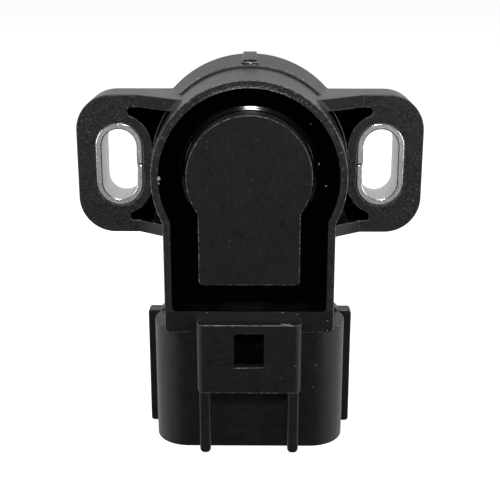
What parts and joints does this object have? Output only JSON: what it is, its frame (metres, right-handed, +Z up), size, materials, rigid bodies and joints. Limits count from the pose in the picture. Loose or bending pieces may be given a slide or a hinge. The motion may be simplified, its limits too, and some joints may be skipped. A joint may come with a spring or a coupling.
{
  "type": "throttle position sensor",
  "caption": "Moulded rotary throttle position sensor with slotted mounting ears, resin-sealed keyhole cover, sprung rotor with a drive slot, and a downward connector socket.",
  "frame": {"origin": "on the rotor's axis, in the plane of the mounting face", "axes": "+X to the right seen from the front, +Y from the front into the throttle body along the rotor's axis, +Z up, away from the connector"},
  "size_m": [0.053, 0.0249, 0.0592],
  "materials": {
    "housing_plastic": "glass-filled moulding, satin",
    "cover_plastic": "fine matte moulding",
    "resin": "glossy cast resin",
    "sleeve_steel": "plated strip, dull",
    "substrate": "ceramic",
    "track_ink": "carbon ink",
    "track_silver": "printed silver",
    "terminal_brass": "tinned",
    "solder": "bright solder",
    "rotor_plastic": "natural moulding",
    "wiper_metal": "sprung precious-metal strip",
    "spring_steel": "drawn wire",
    "bush_bronze": "sintered",
    "washer_plastic": "low-friction sheet",
    "seal_rubber": "moulded rubber"
  },
  "bodies": {
    "sensor": {"housing": "housing_plastic", "mount_sleeve_left": "sleeve_steel", "mount_sleeve_right": "sleeve_steel", "cover": "cover_plastic", "potting_resin": "resin", "resistor_board": "substrate", "resistor_track": "track_ink", "collector_track": "track_silver", "terminal_supply": "terminal_brass", "terminal_signal": "terminal_brass", "terminal_ground": "terminal_brass", "solder_joints": "solder", "return_spring": "spring_steel", "rotor_bush": "bush_bronze", "thrust_washer": "washer_plastic", "shaft_seal": "seal_rubber", "seal_ring": "seal_rubber"},
    "rotor": {"rotor": "rotor_plastic", "wiper": "wiper_metal", "retaining_ring": "spring_steel"}
  },
  "joints": [
    {"name": "rotor_turn", "type": "hinge", "parent": "sensor", "child": "rotor", "pos_m": [0, 0, 0], "axis": [0, 1, 0], "range_deg": [0, 105], "stiffness_Nm_per_rad": 0.015, "springref_deg": -57.3, "deforming": ["return_spring"]}
  ]
}
